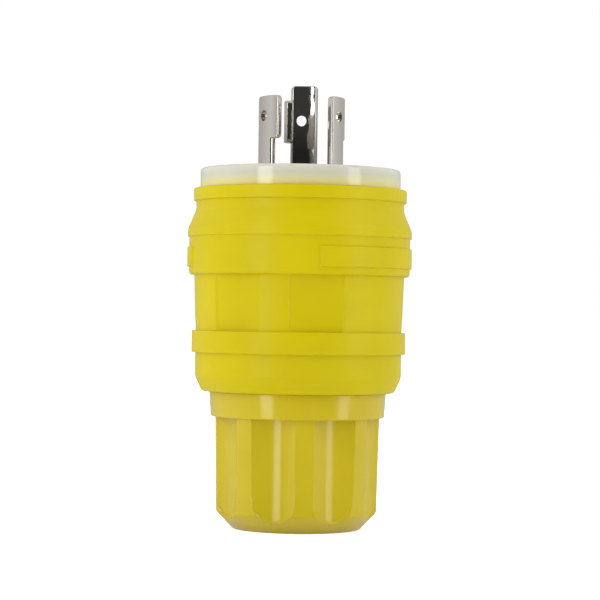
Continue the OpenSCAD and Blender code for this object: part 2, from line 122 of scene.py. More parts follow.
class PlugFinishSettings(bpy.types.PropertyGroup):
    """Colours and finishes of the plug's pieces"""

    boot_colour: colour("Boot", "Yellow of the soft sealing boot", (0.602, 0.492, 0.002))
    nut_colour: colour("Gland nut", "Ochre of the gland nut", (0.590, 0.462, 0.010))
    face_colour: colour("Face", "White of the nylon face", (0.800, 0.790, 0.676))
    nickel_colour: colour("Nickel", "Tint of the plated blades", (0.610, 0.575, 0.525))
    housing_colour: colour("Housing", "Dark grey of the rigid housing", (0.022, 0.022, 0.024))
    block_colour: colour("Terminal block", "Brown of the terminal block", (0.035, 0.015, 0.008))
    brass_colour: colour("Brass", "Plain brass of the terminals", (0.560, 0.380, 0.130))
    zinc_colour: colour("Zinc", "Zinc plating of the screws", (0.480, 0.490, 0.500))
    green_colour: colour("Ground screw", "Green of the ground screw", (0.008, 0.120, 0.030))
    seal_colour: colour("Seals", "Black of the rubber seals", (0.012, 0.012, 0.012))
    slip_colour: colour("Slip ring", "Natural acetal of the slip ring", (0.620, 0.620, 0.580))
    collet_colour: colour("Collet", "Grey nylon of the collet", (0.110, 0.110, 0.115))
    boot_roughness: factor("Boot roughness", "Roughness of the sealing boot", 0.37)
    nut_roughness: factor("Nut roughness", "Roughness of the gland nut", 0.17)
    face_roughness: factor("Face roughness", "Roughness of the nylon face", 0.10)
    blade_roughness: factor("Blade roughness", "Roughness of the line and neutral blades", 0.10)
    ground_roughness: factor("Ground blade roughness", "Roughness of the ground blade", 0.09)


class PlugStageSettings(bpy.types.PropertyGroup):
    """Camera, lamps and floor"""

    camera_distance: length("Camera distance", "From the plug's axis to the camera", 0.632)
    camera_height: length("Camera height", "Of the camera above the floor", 0.0590)
    camera_offset: length("Camera offset", "Of the camera to the right of the axis", 0.00029)
    camera_pitch: tilt("Camera pitch", "Upward tilt of the camera", 0.33)
    camera_roll: tilt("Camera roll", "Turn of the camera about its view", 0.82)
    camera_lens: factor("Lens", "Focal length in millimetres on a 36 mm sensor", 138.0, 400.0)
    lamp_distance: length("Lamp distance", "From the plug's axis to the soft boxes", 0.32)
    left_power: factor("Left lamp", "Power of the left soft box in watts", 0.66, 100.0)
    right_power: factor("Right lamp", "Power of the right soft box in watts", 0.42, 100.0)
    sky_strength: factor("Sky", "Strength of the light from the studio", 1.46, 5.0)
    mirror_strength: factor("Reflected sky", "Strength of the studio in reflections", 0.95, 5.0)


# ---- Shape helpers ----


def outline_wire(shape, outline):
    """A closed wire in the XZ plane through (radius, height, corner cut) points in mm."""
    corners = [shape.verts.new((radius * MM, 0, height * MM)) for radius, height, _ in outline]
    for start, end in zip(corners, corners[1:] + corners[:1]):
        shape.edges.new((start, end))
    for corner, (_, _, cut) in zip(corners, outline):
        if cut:
            round_corners(shape, [corner], cut, 5)


def round_corners(shape, corners, cut, segments):
    """Rounds the given corners of a wire or a flat face, with the cut in mm."""
    bmesh.ops.bevel(
        shape,
        geom=corners,
        offset=cut * MM,
        offset_type="OFFSET",
        affect="VERTICES",
        segments=segments,
        profile=0.5,
        material=-1,
    )


def add_rows(shape, rows):
    """Cuts the wire at the given heights in mm."""
    for row in rows:
        bmesh.ops.bisect_plane(
            shape,
            geom=shape.verts[:] + shape.edges[:],
            dist=MERGE,
            plane_co=(0, 0, row * MM),
            plane_no=(0, 0, 1),
        )


def spin_wire(shape, turn):
    """Turns the wire once about Z, its first column at the given direction from the front."""
    start = Matrix.Rotation(math.radians(turn - 90), 3, "Z")
    bmesh.ops.rotate(shape, cent=(0, 0, 0), matrix=start, verts=shape.verts[:])
    bmesh.ops.spin(
        shape,
        geom=shape.verts[:] + shape.edges[:],
        cent=(0, 0, 0),
        axis=(0, 0, 1),
        angle=2 * math.pi,
        steps=COLUMNS,
        use_merge=True,
    )


def finish_piece(name, shape, node, material, replace=True):
    """Makes the bmesh a piece that rides with the CAD node and, as a rule, stands for it."""
    bmesh.ops.remove_doubles(shape, verts=shape.verts[:], dist=MERGE)
    bmesh.ops.recalc_face_normals(shape, faces=shape.faces[:])
    limit = math.radians(SMOOTH_ANGLE)
    for face in shape.faces:
        face.smooth = True
    for edge in shape.edges:
        edge.smooth = edge.calc_face_angle(0) < limit
    mesh = bpy.data.meshes.new(name)
    shape.to_mesh(mesh)
    shape.free()
    piece = bpy.data.objects.new(name, mesh)
    bpy.context.scene.collection.objects.link(piece)
    mesh.materials.append(material)
    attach(piece, FRAME["nodes"][node]["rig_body"])
    if replace:
        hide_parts(node)


def direction_of(point):
    """Direction of a point from the front in degrees, anticlockwise."""
    return math.degrees(math.atan2(point.x, -point.y))


def offset_from_pattern(direction, first, count):
    """Signed angle from the nearest of count equal steps that begin at first."""
    pitch = 360 / count
    return (direction - first + pitch / 2) % pitch - pitch / 2


def place_of(vert):
    """Radius and height of a vertex in mm."""
    return math.hypot(vert.co.x, vert.co.y) / MM, vert.co.z / MM


def move_radius(vert, radius):
    """Moves a vertex along its own direction to the radius."""
    now = math.hypot(vert.co.x, vert.co.y)
    vert.co.x *= radius / now
    vert.co.y *= radius / now


def eased(value, low, high):
    """0 below low, 1 above high, a soft step between."""
    share = min(max((value - low) / (high - low), 0.0), 1.0)
    return share * share * (3 - 2 * share)


def soft_min(a, b, radius):
    """The smaller of two values, blended over the radius."""
    mix = min(max(0.5 + 0.5 * (b - a) / radius, 0.0), 1.0)
    return b + (a - b) * mix - radius * mix * (1 - mix)


# ---- Shader helpers ----

# Depth in metres of the grain and the draw lines
GRAIN_DEPTH = 0.00002
# Noise scales of the draw lines: across twice, then along
DRAW_SCALE = (2200, 2200, 130)
WAVE_SCALE = 260.0
# Places of a colour Mix node's sockets
MIX_FACTOR, MIX_BASE, MIX_TINT, MIX_RESULT = 0, 6, 7, 2


def new_material(name):
    """A node material with its Principled shader and node tree."""
    material = bpy.data.materials.new(name)
    material.use_nodes = True
    tree = material.node_tree
    shader = tree.nodes["Principled BSDF"]
    return material, tree, shader


def group_sockets(group, values, outputs):
    """Gives a node group its number inputs with their defaults and its number outputs."""
    for name, value in values.items():
        socket = group.interface.new_socket(name, in_out="INPUT", socket_type="NodeSocketFloat")
        socket.default_value = value
    for name in outputs:
        group.interface.new_socket(name, in_out="OUTPUT", socket_type="NodeSocketFloat")
    source, sink = group.nodes.new("NodeGroupInput"), group.nodes.new("NodeGroupOutput")
    return group.nodes, group.links, source, sink


def mould_texture_group():
    """Fine cast texture: a colour factor, a roughness shift and a height from object coordinates."""
    group = bpy.data.node_groups.new("Mould texture", "ShaderNodeTree")
    values = {
        "Grain Scale": 4000.0,
        "Cloud Scale": 60.0,
        "Colour Spread": 0.04,
        "Roughness": 0.5,
        "Roughness Spread": 0.08,
    }
    nodes, links, source, sink = group_sockets(group, values, ("Tint", "Roughness", "Height"))
    coords = nodes.new("ShaderNodeTexCoord")
    cloud = nodes.new("ShaderNodeTexNoise")
    grain = nodes.new("ShaderNodeTexNoise")
    cloud.inputs["Detail"].default_value = 3.0
    grain.inputs["Detail"].default_value = 2.0
    tint = nodes.new("ShaderNodeMapRange")
    tint.inputs["From Min"].default_value = 0.3
    tint.inputs["From Max"].default_value = 0.7
    low, high = nodes.new("ShaderNodeMath"), nodes.new("ShaderNodeMath")
    low.operation, high.operation = "SUBTRACT", "ADD"
    low.inputs[0].default_value = high.inputs[0].default_value = 1.0
    shift, spread = nodes.new("ShaderNodeMath"), nodes.new("ShaderNodeMath")
    shift.operation, spread.operation = "SUBTRACT", "MULTIPLY_ADD"
    shift.inputs[1].default_value = 0.5
    links.new(coords.outputs["Object"], cloud.inputs["Vector"])
    links.new(coords.outputs["Object"], grain.inputs["Vector"])
    links.new(source.outputs["Cloud Scale"], cloud.inputs["Scale"])
    links.new(source.outputs["Grain Scale"], grain.inputs["Scale"])
    links.new(cloud.outputs["Fac"], tint.inputs["Value"])
    links.new(source.outputs["Colour Spread"], low.inputs[1])
    links.new(source.outputs["Colour Spread"], high.inputs[1])
    links.new(low.outputs[0], tint.inputs["To Min"])
    links.new(high.outputs[0], tint.inputs["To Max"])
    links.new(cloud.outputs["Fac"], shift.inputs[0])
    links.new(shift.outputs[0], spread.inputs[0])
    links.new(source.outputs["Roughness Spread"], spread.inputs[1])
    links.new(source.outputs["Roughness"], spread.inputs[2])
    links.new(tint.outputs["Result"], sink.inputs["Tint"])
    links.new(spread.outputs[0], sink.inputs["Roughness"])
    links.new(grain.outputs["Fac"], sink.inputs["Height"])
    return group


def moulded(name, base, roughness, bump=0.15):
    """A plastic or rubber surface with the shared mould texture."""
    material, tree, shader = new_material(name)
    nodes, links = tree.nodes, tree.links
    texture = nodes.new("ShaderNodeGroup")
    texture.node_tree = bpy.data.node_groups.get("Mould texture") or mould_texture_group()
    texture.inputs["Roughness"].default_value = roughness
    scale = nodes.new("ShaderNodeVectorMath")
    scale.operation = "SCALE"
    scale.inputs[0].default_value = base
    links.new(texture.outputs["Tint"], scale.inputs["Scale"])
    links.new(scale.outputs[0], shader.inputs["Base Color"])
    links.new(texture.outputs["Roughness"], shader.inputs["Roughness"])
    add_bump(tree, shader, texture.outputs["Height"], bump)
    return material, tree, shader


def add_bump(tree, shader, height, strength):
    """Raises the surface by a height output, to the depth of the grain."""
    bumps = tree.nodes.new("ShaderNodeBump")
    bumps.inputs["Strength"].default_value = strength
    bumps.inputs["Distance"].default_value = GRAIN_DEPTH
    tree.links.new(height, bumps.inputs["Height"])
    tree.links.new(bumps.outputs["Normal"], shader.inputs["Normal"])


def fill_ramp(ramp_data, stops):
    """Sets the stops of a colour ramp from (place, colour) pairs."""
    while len(ramp_data.elements) < len(stops):
        ramp_data.elements.new(0.5)
    for element, (place, shade) in zip(ramp_data.elements, stops):
        element.position = place
        element.color = (*shade, 1)


def drawn_lines_group():
    """Fine upright draw lines over slow waves: a roughness and a height from object coordinates."""
    group = bpy.data.node_groups.new("Drawn lines", "ShaderNodeTree")
    values = {"Roughness": 0.2, "Line Spread": 0.12, "Wave Height": 6.0}
    nodes, links, source, sink = group_sockets(group, values, ("Roughness", "Height"))
    coords = nodes.new("ShaderNodeTexCoord")
    stretch = nodes.new("ShaderNodeVectorMath")
    stretch.operation = "MULTIPLY"
    stretch.inputs[1].default_value = DRAW_SCALE
    lines, waves = nodes.new("ShaderNodeTexNoise"), nodes.new("ShaderNodeTexNoise")
    lines.inputs["Scale"].default_value = 1.0
    lines.inputs["Detail"].default_value = 3.0
    waves.inputs["Scale"].default_value = WAVE_SCALE
    waves.inputs["Detail"].default_value = 1.0
    shift, rough, height = (nodes.new("ShaderNodeMath") for _ in range(3))
    shift.operation, rough.operation, height.operation = "SUBTRACT", "MULTIPLY_ADD", "MULTIPLY_ADD"
    shift.inputs[1].default_value = 0.5
    links.new(coords.outputs["Object"], stretch.inputs[0])
    links.new(stretch.outputs[0], lines.inputs["Vector"])
    links.new(coords.outputs["Object"], waves.inputs["Vector"])
    links.new(lines.outputs["Fac"], shift.inputs[0])
    links.new(shift.outputs[0], rough.inputs[0])
    links.new(source.outputs["Line Spread"], rough.inputs[1])
    links.new(source.outputs["Roughness"], rough.inputs[2])
    links.new(waves.outputs["Fac"], height.inputs[0])
    links.new(source.outputs["Wave Height"], height.inputs[1])
    links.new(lines.outputs["Fac"], height.inputs[2])
    links.new(rough.outputs[0], sink.inputs["Roughness"])
    links.new(height.outputs[0], sink.inputs["Height"])
    return group


def metal(name, base, roughness, waves=6.0, bump=0.12):
    """A plated or plain metal surface with draw lines and slow waves."""
    material, tree, shader = new_material(name)
    nodes, links = tree.nodes, tree.links
    lines = nodes.new("ShaderNodeGroup")
    lines.node_tree = bpy.data.node_groups.get("Drawn lines") or drawn_lines_group()
    lines.inputs["Roughness"].default_value = roughness
    lines.inputs["Wave Height"].default_value = waves
    shader.inputs["Base Color"].default_value = (*base, 1)
    shader.inputs["Metallic"].default_value = 1.0
    links.new(lines.outputs["Roughness"], shader.inputs["Roughness"])
    add_bump(tree, shader, lines.outputs["Height"], bump)
    return material, tree, shader


def paint_light_by_height(tree, shader, low, high, stops):
    """Multiplies the base colour by stops that run from a low to a high place on the piece, which paints
    light and shade by height.
    """
    nodes, links = tree.nodes, tree.links
    coords = nodes.new("ShaderNodeTexCoord")
    parts = nodes.new("ShaderNodeSeparateXYZ")
    height = nodes.new("ShaderNodeMapRange")
    height.inputs["From Min"].default_value = low
    height.inputs["From Max"].default_value = high
    shades = nodes.new("ShaderNodeValToRGB")
    fill_ramp(shades.color_ramp, stops)
    tint = nodes.new("ShaderNodeMix")
    tint.data_type = "RGBA"
    tint.blend_type = "MULTIPLY"
    tint.inputs[MIX_FACTOR].default_value = 1.0
    links.new(coords.outputs["Object"], parts.inputs[0])
    links.new(parts.outputs["Z"], height.inputs["Value"])
    links.new(height.outputs["Result"], shades.inputs["Fac"])
    base = shader.inputs["Base Color"]
    if base.links:
        links.new(base.links[0].from_socket, tint.inputs[MIX_BASE])
    else:
        tint.inputs[MIX_BASE].default_value = base.default_value[:]
    links.new(shades.outputs["Color"], tint.inputs[MIX_TINT])
    links.new(tint.outputs[MIX_RESULT], base)


def finish_of():
    """The user's colours."""
    return bpy.context.scene.plug_finish


def dress(node, material):
    """Gives a CAD node its material."""
    slots = FRAME["nodes"][node].data.materials
    slots.clear()
    slots.append(material)


# ---- Sealing boot ----

# (radius, height above the boot's bottom, corner cut) in mm, from the hole in the
# boot's floor up the outside and down the inside
BOOT_OUTLINE = (
    (17.6, 0.0, 0.3),
    (26.4, 0.0, 0.7),
    (28.3, 4.1, 0.8),
    (28.3, 10.6, 0.12),
    (29.35, 10.6, 0.35),
    (29.35, 16.6, 0.35),
    (28.3, 16.6, 0.12),
    (28.8, 31.8, 0.12),
    (30.3, 31.8, 0.9),
    (30.3, 42.2, 0.12),
    (30.73, 42.2, 0.25),
    (30.73, 44.35, 0.9),
    (28.53, 49.45, 0.9),
    (28.53, 52.0, 0.12),
    (29.23, 52.0, 0.3),
    (29.23, 55.5, 0.45),
    (24.1, 55.5, 0.0),
    (24.1, 25.8, 0.0),
    (25.3, 25.8, 0.0),
    (25.3, 22.6, 0.0),
    (24.1, 22.6, 0.0),
    (24.1, 3.6, 0.0),
    (17.6, 3.6, 0.0),
)
GRIP = {"bottom": 16.6, "top": 31.8, "radius": 28.3, "draft": 0.5}
# Directions of the panels in degrees, and the angle in radians within which one is looked for
PANEL = {"turns": (9.7, -35.9, 189.7, 144.1), "half_width": 7.25, "step": 0.25, "within": 0.5}
PAD = {"bottom": 33.8, "height": 5.8, "out": 0.5, "first": 10.5, "span": 97.5, "lip": 30.3}
EDGE_SOFTNESS = 0.3
# Play in mm for a point that lies on a face, and what a rounded corner may add
PLAY = 0.01
CORNER_PLAY = 0.2


def build_boot():
    """The boot turned from its outline, with flat grip panels and raised pads."""
    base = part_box("sealing_boot")[0].z / MM
    shape = bmesh.new()
    outline_wire(shape, [(radius, base + height, cut) for radius, height, cut in BOOT_OUTLINE])
    pad_low, pad_high = base + PAD["bottom"], base + PAD["bottom"] + PAD["height"]
    steps = (0, EDGE_SOFTNESS / 2, EDGE_SOFTNESS)
    add_rows(shape, [pad_low + step for step in steps] + [pad_high - step for step in reversed(steps)])
    spin_wire(shape, PANEL["turns"][0])
    for vert in shape.verts:
        sink_panel(vert, base)
        raise_pad(vert, pad_low, pad_high)
    return shape


def sink_panel(vert, base):
    """Moves a vertex of the grip inwards to its flat panel."""
    radius, height = place_of(vert)
    share = (height - base - GRIP["bottom"]) / (GRIP["top"] - GRIP["bottom"])
    grip_radius = GRIP["radius"] + GRIP["draft"] * share
    if not 0 <= round(share, 3) <= 1 or not -PLAY < radius - grip_radius < CORNER_PLAY:
        return
    direction = direction_of(vert.co)
    offset = math.radians(min((offset_from_pattern(direction, turn, 1) for turn in PANEL["turns"]), key=abs))
    if abs(offset) > PANEL["within"]:
        return
    edge = math.sqrt(GRIP["radius"] ** 2 - PANEL["half_width"] ** 2)
    flat = (edge - PANEL["step"] + GRIP["draft"] * share) / math.cos(offset)
    across = abs(grip_radius * math.sin(offset))
    inside = eased(PANEL["half_width"] - across, -EDGE_SOFTNESS / 2, EDGE_SOFTNESS / 2)
    move_radius(vert, (radius + min(0.0, flat - grip_radius) * inside) * MM)


def raise_pad(vert, low, high):
    """Moves a vertex of the lip outwards where a label pad stands."""
    radius, height = place_of(vert)
    if not low - PLAY < height < high + PLAY or abs(radius - PAD["lip"]) >= PLAY:
        return
    turn = (direction_of(vert.co) - PAD["first"]) % 180
    along = min(turn, PAD["span"] - turn) * math.radians(PAD["lip"])
    rise = eased(min(along, height - low, high - height), 0.0, EDGE_SOFTNESS)
    move_radius(vert, (radius + PAD["out"] * rise) * MM)


# ---- Gland nut ----

# (radius, height, corner cut) in mm, from the cord hole up the outside and down the inside
NUT_OUTLINE = (
    (10.5, 0.0, 1.0),
    (17.5, 0.0, 0.4),
    (22.0, 4.7, 0.5),
    (22.5, 30.6, 0.15),
    (23.8, 30.6, 0.35),
    (24.25, 37.4, 0.3),
    (17.85, 37.4, 0.3),
    (17.85, 34.2, 0.0),
    (16.3, 34.2, 0.4),
    (16.3, 4.6, 0.0),
    (10.5, 4.6, 0.0),
)
FLUTE = {
    "count": 8,
    "first": -17,
    "half_width": 6.05,
    "depth": 2.4,
    "start": 2.7,
    "top": 30.6,
    "crest": 22.25,
}
# Radii and lowest height in mm between which a point belongs to the barrel or its bevel
BARREL = {"inner": 17.2, "outer": 22.7, "low": 0.3}
# The round end of a flute: its extra radius, the slope of its floor and how far in it begins
FLUTE_END = {"extra": 0.6, "slope": 1.3, "reach": 0.7}
FLUTE_ROUND = 0.35
# Rows that are cut across the flutes' ends: lowest height and spacing in mm, and their number
ROWS = {"low": 0.75, "step": 0.25, "count": 38}


def build_nut():
    """The nut turned from its outline, with concave flutes sunk into its barrel."""
    shape = bmesh.new()
    outline_wire(shape, NUT_OUTLINE)
    add_rows(shape, [ROWS["low"] + i * ROWS["step"] for i in range(ROWS["count"])])
    spin_wire(shape, FLUTE["first"])
    for vert in shape.verts:
        sink_flute(vert)
    return shape


def sink_flute(vert):
    """Moves a vertex of the barrel or bevel inwards to the floor of its flute."""
    radius, height = place_of(vert)
    on_barrel = BARREL["inner"] <= radius <= BARREL["outer"]
    if not on_barrel or not BARREL["low"] < height < FLUTE["top"] + PLAY / 10:
        return
    offset = math.radians(offset_from_pattern(direction_of(vert.co), FLUTE["first"], FLUTE["count"]))
    floor = FLUTE["crest"] - FLUTE["depth"]
    rise = math.sqrt(FLUTE["crest"] ** 2 - FLUTE["half_width"] ** 2) - floor
    sweep = (rise**2 + FLUTE["half_width"] ** 2) / (2 * rise)
    centre = floor + sweep
    inside = sweep**2 - (centre * math.sin(offset)) ** 2
    if inside <= 0:
        return
    reach = centre * math.cos(offset) - math.sqrt(inside)
    across = reach * math.sin(offset)
    end_radius = FLUTE["half_width"] + FLUTE_END["extra"]
    end_centre = FLUTE["start"] + end_radius
    gap = end_radius - math.hypot(across, min(height - end_centre, 0.0))
    reach += FLUTE_END["slope"] * max(0.0, FLUTE_END["reach"] - gap)
    move_radius(vert, soft_min(radius, reach, FLUTE_ROUND) * MM)


# ---- Face ----

# Painted light on the face's edge: its colour by height above the boot's rim, painted yellow near the rim
# for the boot's yellow light that shines through the nylon
FACE_PAINTED_GLOW = (
    (0.0, (0.97, 0.84, 0.36)),
    (0.3, (0.86, 0.81, 0.52)),
    (0.6, (0.71, 0.73, 0.66)),
    (0.8, (0.76, 0.76, 0.76)),
)


# ---- Blades ----

BLADE = {
    "radius": 11.9,
    "thick": 2.0,
    "flag": 11.7,
    "hole": 1.5,
    "hole_drop": 5.4,
    "corner": 1.1,
    "edge": 0.35,
}
TAIL = {"inset": 0.3, "width": 10.0, "drop": 19.5, "overlap": 2.5}
# Directions in degrees of the neck's edges, the flag's end and the tail
BLADE_TURNS = {
    "line_blade": (45, 77, 89, 60),
    "neutral_blade": (-82, -44, -32, -60),
    "ground_blade": (157, 195, 195, 180),
}
# Inner radius of the bend in the ground blade's flag, and the flag's inward reach
BEND = 0.4
HOOK_REACH = 3.0
# Width in metres of the columns that a flat blade bends in
BEND_STEP = 0.0002
CUTTER_LENGTH = 0.02
# Painted shade on the ground blade: its colour darkens from its root upwards, standing in for the dark
# reflection and contact shade near the face
GROUND_PAINTED_SHADE = ((0.0, (0.34, 0.34, 0.34)), (0.4, (0.42, 0.42, 0.42)), (1.0, (1.0, 1.0, 1.0)))
# Height over which the painted shade runs out, in mm
PAINTED_SHADE_HEIGHT = 15


def arc_length(degrees):
    """Length along the blade circle in metres."""
    return math.radians(degrees) * (BLADE["radius"] - BLADE["thick"] / 2) * MM


def flat_blade(node, line_tip):
    """The blade's outline as a flat plate: X along the circle, Z up, with rounded corners."""
    start, end, flag_end, middle = BLADE_TURNS[node]
    low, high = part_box(node)
    tip, foot = high.z, low.z + (TAIL["drop"] - TAIL["overlap"]) * MM
    flag_low = line_tip - BLADE["flag"] * MM
    left, right = arc_length(start - middle), arc_length(end - middle)
    flag_right = arc_length(flag_end - middle)
    corners = [(left, foot), (right, foot)]
    rounded = []
    if node == "ground_blade":
        reach = right + hook_length()
        corners += [(right, flag_low), (reach, flag_low), (reach, line_tip), (right, line_tip)]
        corners += [(right, tip), (left, tip)]
        rounded = [3, 4, 6, 7]
    else:
        corners += [(right, flag_low), (flag_right, flag_low), (flag_right, tip), (left, tip)]
        rounded = [3, 4, 5]
    shape = bmesh.new()
    verts = [shape.verts.new((x, 0, z)) for x, z in corners]
    shape.faces.new(verts)
    round_corners(shape, [verts[i] for i in rounded], BLADE["corner"], 6)
    return shape


def hook_length():
    """Length of the bent flag along its middle line, in metres."""
    bend = (BEND + BLADE["thick"] / 2) * math.pi / 2
    return (bend + HOOK_REACH - BEND) * MM


def thicken(shape):
    """Gives the flat plate its thickness and soft edges."""
    face = shape.faces[:]
    made = bmesh.ops.extrude_face_region(shape, geom=face)
    moved = [v for v in made["geom"] if isinstance(v, bmesh.types.BMVert)]
    bmesh.ops.translate(shape, verts=moved, vec=(0, BLADE["thick"] * MM, 0))
    bmesh.ops.translate(shape, verts=shape.verts[:], vec=(0, -BLADE["thick"] / 2 * MM, 0))
    bmesh.ops.recalc_face_normals(shape, faces=shape.faces[:])
    rims = [e for e in shape.edges if is_rim(e)]
    bmesh.ops.bevel(
        shape,
        geom=rims,
        offset=BLADE["edge"] * MM,
        offset_type="OFFSET",
        affect="EDGES",
        segments=4,
        profile=0.5,
        material=-1,
        clamp_overlap=True,
    )


def is_rim(edge):
    """True for the edges round the two flat sides of the plate."""
    flats = [abs(face.normal.y) > 0.9 for face in edge.link_faces]
    return len(flats) == 2 and flats[0] != flats[1]


def drill(shape, x, z):
    """Drills the blade's hole through the flat plate with a boolean."""
    mesh = bpy.data.meshes.new("blank")
    shape.to_mesh(mesh)
    shape.free()
    blank = bpy.data.objects.new("blank", mesh)
    cutter_shape = bmesh.new()
    bmesh.ops.create_cone(
        cutter_shape,
        cap_ends=True,
        segments=48,
        radius1=BLADE["hole"] * MM,
        radius2=BLADE["hole"] * MM,
        depth=CUTTER_LENGTH,
        matrix=Matrix.Translation((x, 0, z)) @ Matrix.Rotation(math.radians(90), 4, "X"),
    )
    cutter_mesh = bpy.data.meshes.new("cutter")
    cutter_shape.to_mesh(cutter_mesh)
    cutter_shape.free()
    cutter = bpy.data.objects.new("cutter", cutter_mesh)
    for item in (blank, cutter):
        bpy.context.scene.collection.objects.link(item)
    cut = blank.modifiers.new("hole", "BOOLEAN")
    cut.operation = "DIFFERENCE"
    cut.solver = "EXACT"
    cut.object = cutter
    bpy.context.view_layer.update()
    graph = bpy.context.evaluated_depsgraph_get()
    drilled = bmesh.new()
    drilled.from_mesh(blank.evaluated_get(graph).to_mesh())
    for item in (blank, cutter):
        bpy.data.objects.remove(item)
    return drilled


def slice_columns(shape):
    """Cuts the plate into narrow upright columns, so that it can bend."""
    low = min(v.co.x for v in shape.verts)
    high = max(v.co.x for v in shape.verts)
    for i in range(1, int((high - low) / BEND_STEP) + 1):
        bmesh.ops.bisect_plane(
            shape,
            geom=shape.verts[:] + shape.edges[:] + shape.faces[:],
            dist=1e-8,
            plane_co=(low + i * BEND_STEP, 0, 0),
            plane_no=(1, 0, 0),
        )


def bend_plate(shape, middle, hook_start=None):
    """Bends the flat plate round the blade circle, and its flag inwards after hook_start."""
    mid = (BLADE["radius"] - BLADE["thick"] / 2) * MM
    for vert in shape.verts:
        along, out, height = vert.co.x, -vert.co.y, vert.co.z
        if hook_start is None or along <= hook_start:
            angle = along / mid
            place = Vector(((mid + out) * math.cos(angle), (mid + out) * math.sin(angle), height))
        else:
            place = hook_place(along - hook_start, out, height, hook_start / mid, mid)
        vert.co = place
    turn = Matrix.Rotation(math.radians(middle - 90), 3, "Z")
    bmesh.ops.rotate(shape, cent=(0, 0, 0), matrix=turn, verts=shape.verts[:])


def hook_place(beyond, out, height, angle, mid):
    """Place of a point of the bent flag, a distance beyond the end of the neck."""
    bend_mid = (BEND + BLADE["thick"] / 2) * MM
    swept = min(beyond / bend_mid, math.pi / 2)
    centre = mid - bend_mid
    x = centre + (bend_mid + out) * math.cos(swept)
    y = (bend_mid + out) * math.sin(swept)
    x -= max(0.0, beyond - bend_mid * math.pi / 2)
    return Matrix.Rotation(angle, 3, "Z") @ Vector((x, y, height))


def add_tail(shape, node, middle):
    """Adds the flat tail that the terminal screw clamps."""
    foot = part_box(node)[0].z
    height = TAIL["drop"] * MM
    inner = (BLADE["radius"] - BLADE["thick"] - TAIL["inset"]) * MM
    thick = BLADE["thick"] * MM
    block = Matrix.Translation((inner + thick / 2, 0, foot + height / 2))
    scale = Matrix.Diagonal((thick, TAIL["width"] * MM, height, 1))
    turn = Matrix.Rotation(math.radians(middle - 90), 4, "Z")
    bmesh.ops.create_cube(shape, size=1, matrix=turn @ block @ scale)


def build_blade(node, line_tip):
    """A blade cut flat, drilled, bent round the circle and joined to its tail."""
    start, end, flag_end, middle = BLADE_TURNS[node]
    shape = flat_blade(node, line_tip)
    thicken(shape)
    shape = drill(shape, 0, line_tip - BLADE["hole_drop"] * MM)
    slice_columns(shape)
    hook_start = arc_length(end - middle) if node == "ground_blade" else None
    bend_plate(shape, middle, hook_start)
    add_tail(shape, node, middle)
    return shape


# ---- Neck thread ----

THREAD = {"root": 15.9, "crest": 16.2, "pitch": 3.0, "width": 1.5, "turns": 4.5, "first": 1.6, "columns": 72}


def build_thread():
    """A low trapezoid ridge wound up the neck at the pitch of the nut's travel."""
    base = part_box("rear_housing")[0].z / MM + THREAD["first"]
    wide, narrow = THREAD["width"] / 2, THREAD["width"] / 4
    root, crest = THREAD["root"], THREAD["crest"]
    corners = ((root, -wide), (crest, -narrow), (crest, narrow), (root, wide))
    shape = bmesh.new()
    face = shape.faces.new([shape.verts.new((x * MM, 0, (base + z) * MM)) for x, z in corners])
    bmesh.ops.spin(
        shape,
        geom=[face, *face.edges[:], *face.verts[:]],
        cent=(0, 0, 0),
        axis=(0, 0, 1),
        angle=2 * math.pi * THREAD["turns"],
        dvec=(0, 0, THREAD["pitch"] * MM / THREAD["columns"]),
        steps=int(THREAD["columns"] * THREAD["turns"]),
    )
    return shape


# ---- Operators: pieces ----


class PLUG_OT_boot(bpy.types.Operator):
    """Finish the yellow sealing boot"""

    bl_idname = "plug.boot"
    bl_label = "Sealing boot"

    def execute(self, context):
        finish = finish_of()
        material, _, shader = moulded("boot_elastomer", finish.boot_colour, finish.boot_roughness)
        shader.inputs["Specular IOR Level"].default_value = 0.13
        finish_piece("boot", build_boot(), "sealing_boot", material)
        return {"FINISHED"}


class PLUG_OT_nut(bpy.types.Operator):
    """Finish the gland nut"""

    bl_idname = "plug.nut"
    bl_label = "Gland nut"

    def execute(self, context):
        finish = finish_of()
        material, _, shader = moulded("nut_nylon", finish.nut_colour, finish.nut_roughness, bump=0.03)
        shader.inputs["Specular IOR Level"].default_value = 0.42
        finish_piece("nut", build_nut(), "gland_nut", material)
        return {"FINISHED"}


class PLUG_OT_face(bpy.types.Operator):
    """Finish the white nylon face"""

    bl_idname = "plug.face"
    bl_label = "Face"

    def execute(self, context):
        finish = finish_of()
        material, tree, shader = moulded("face_nylon", finish.face_colour, finish.face_roughness, bump=0.02)
        rim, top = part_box("sealing_boot")[1].z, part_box("face_insulator")[1].z
        # Painted light: the face is painted yellow near the boot's rim, for the light that the boot sends
        # through it
        paint_light_by_height(tree, shader, rim, top, FACE_PAINTED_GLOW)
        shader.inputs["Subsurface Weight"].default_value = 0.3
        shader.inputs["Subsurface Radius"].default_value = (1.0, 0.9, 0.7)
        shader.inputs["Subsurface Scale"].default_value = 0.002
        dress("face_insulator", material)
        return {"FINISHED"}


